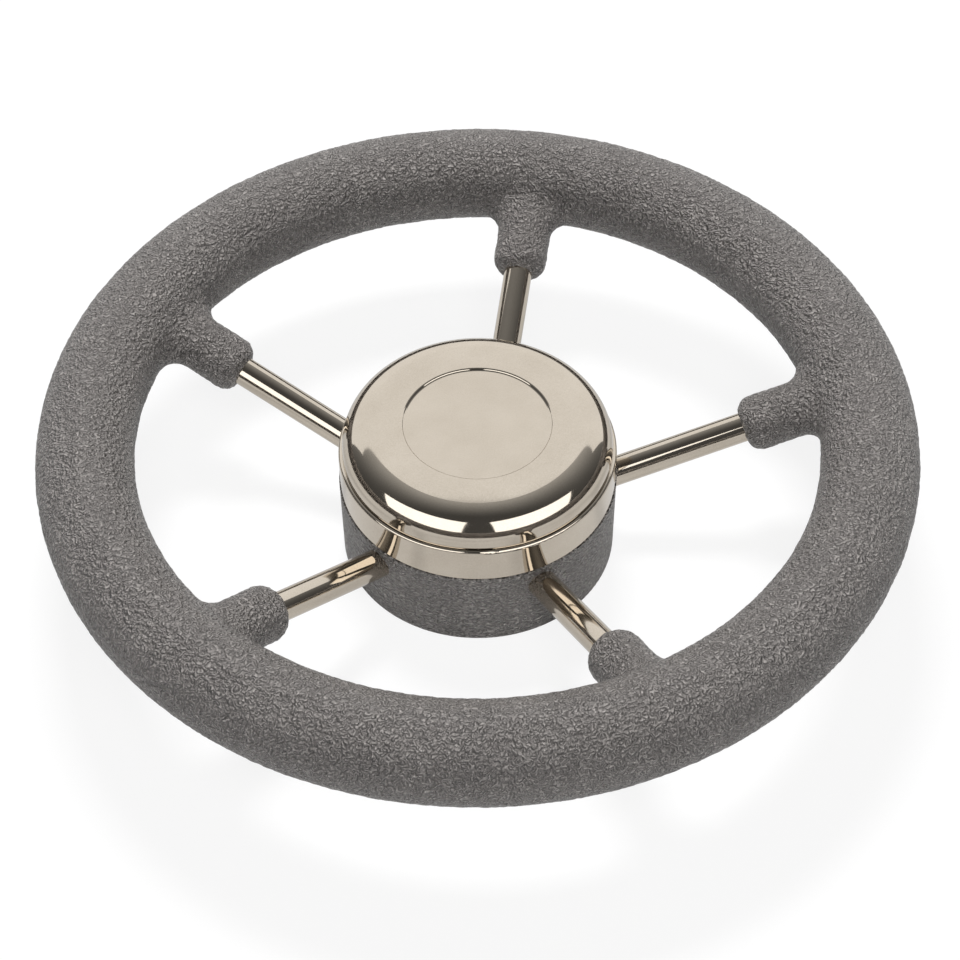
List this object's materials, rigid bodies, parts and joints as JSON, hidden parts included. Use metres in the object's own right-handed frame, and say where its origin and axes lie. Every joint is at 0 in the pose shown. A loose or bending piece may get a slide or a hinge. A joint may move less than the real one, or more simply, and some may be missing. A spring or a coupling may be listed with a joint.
{
  "type": "boat steering wheel",
  "caption": "Boat steering wheel with slim round steel spokes, a thick soft moulded grip, and a polished round hub whose cap pulls off to reach the shaft's nut.",
  "frame": {"origin": "centre of the hub's back face, the lowest point, on the steering shaft's axis", "axes": "+Z along the steering shaft towards the person who steers; -Y towards the camera of the picture; +X to its right"},
  "size_m": [0.35, 0.35, 0.0815],
  "materials": {
    "moulded_grip": "matt grey self-skinned foam with a fine leather-like grain",
    "polished_steel": "mirror-polished stainless steel",
    "tube_steel": "plain welded tube, hidden in the grip",
    "turned_steel": "turned, with fine tool marks",
    "screw_steel": "plain stainless",
    "black_nylon": "moulded, matt",
    "black_rubber": "smooth"
  },
  "bodies": {
    "wheel": {"rim_grip": "moulded_grip", "rim_core_ring": "tube_steel", "spoke_1": "polished_steel", "spoke_2": "polished_steel", "spoke_3": "polished_steel", "spoke_4": "polished_steel", "spoke_5": "polished_steel", "hub_core": "turned_steel", "hub_plate": "turned_steel", "hub_base": "moulded_grip", "hub_shell": "polished_steel", "cap_seat_ring": "black_nylon", "seat_screws": "screw_steel", "cap_o_ring": "black_rubber"},
    "cap": {"hub_cap": "polished_steel"}
  },
  "joints": [
    {"name": "cap_pull_off", "type": "slide", "parent": "wheel", "child": "cap", "axis": [0, 0, 1], "range_m": [0, 0.025]}
  ]
}
